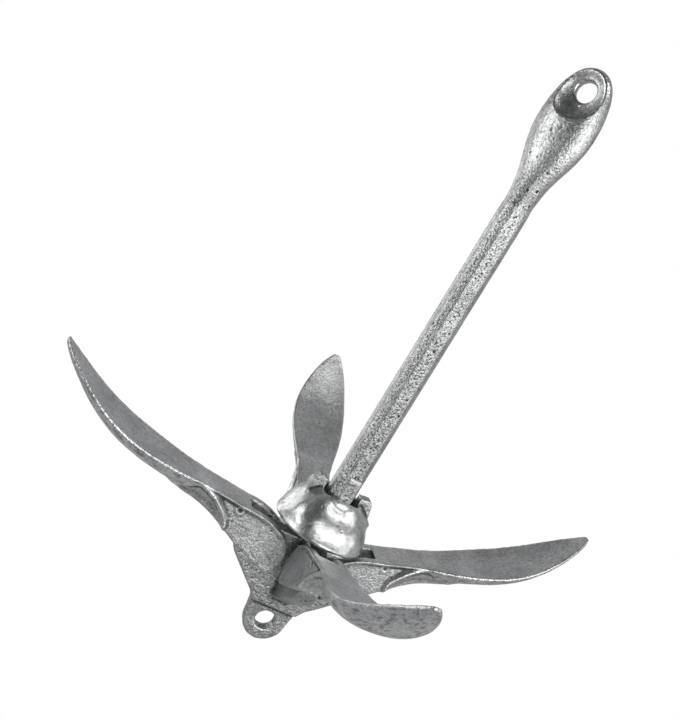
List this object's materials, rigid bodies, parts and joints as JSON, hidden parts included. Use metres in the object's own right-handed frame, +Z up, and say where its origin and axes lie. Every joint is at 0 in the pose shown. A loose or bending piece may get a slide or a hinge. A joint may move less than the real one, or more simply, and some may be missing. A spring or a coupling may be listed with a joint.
{
  "type": "folding grapnel anchor",
  "caption": "Small folding anchor: a cast shank with an eye at each end, a sliding collar and hinged scoop-shaped flukes that fold up along the shank.",
  "frame": {"origin": "centre of the trip-line eye in the crown's tongue", "axes": "+Z up the shank towards the rode eye, +Y along the trip-line eye, -Y is the front, -X the left fluke and +X the right fluke"},
  "size_m": [0.2783, 0.2755, 0.3174],
  "materials": {
    "zinc_rough": "hot-dip galvanised over a pebbly sand-cast surface",
    "zinc_smooth": "hot-dip galvanised, satin smooth with a few pits",
    "zinc_satin": "hot-dip galvanised, fine matt grain",
    "rivet_steel": "galvanised steel, flush peened ends"
  },
  "bodies": {
    "shank": {"shank": "zinc_rough", "crown": "zinc_rough"},
    "collar": {"collar": "zinc_smooth"},
    "fluke_left": {"fluke_left": "zinc_satin", "rivet_left": "rivet_steel"},
    "fluke_right": {"fluke_right": "zinc_satin", "rivet_right": "rivet_steel"},
    "fluke_front": {"fluke_front": "zinc_satin", "rivet_front": "rivet_steel"},
    "fluke_back": {"fluke_back": "zinc_satin", "rivet_back": "rivet_steel"}
  },
  "joints": [
    {"name": "collar_slide", "type": "slide", "parent": "shank", "child": "collar", "axis": [0, 0, 1], "range_m": [0, 0.123]},
    {"name": "fluke_left_fold", "type": "hinge", "parent": "shank", "child": "fluke_left", "pos_m": [-0.0235, 0, 0.0354], "axis": [0, 1, 0], "range_deg": [0, 69.8]},
    {"name": "fluke_right_fold", "type": "hinge", "parent": "shank", "child": "fluke_right", "pos_m": [0.0235, 0, 0.0354], "axis": [0, -1, 0], "range_deg": [0, 57.2]},
    {"name": "fluke_front_fold", "type": "hinge", "parent": "shank", "child": "fluke_front", "pos_m": [0, -0.0235, 0.038], "axis": [-1, 0, 0], "range_deg": [0, 64.4]},
    {"name": "fluke_back_fold", "type": "hinge", "parent": "shank", "child": "fluke_back", "pos_m": [0, 0.0235, 0.038], "axis": [1, 0, 0], "range_deg": [0, 59.1]}
  ],
  "couplings": [
    {"joint": "fluke_left_fold", "follows": "collar_slide", "rad_per_m": 9.8476},
    {"joint": "fluke_right_fold", "follows": "collar_slide", "rad_per_m": 8.0597},
    {"joint": "fluke_front_fold", "follows": "collar_slide", "rad_per_m": 9.0814},
    {"joint": "fluke_back_fold", "follows": "collar_slide", "rad_per_m": 8.3293}
  ]
}
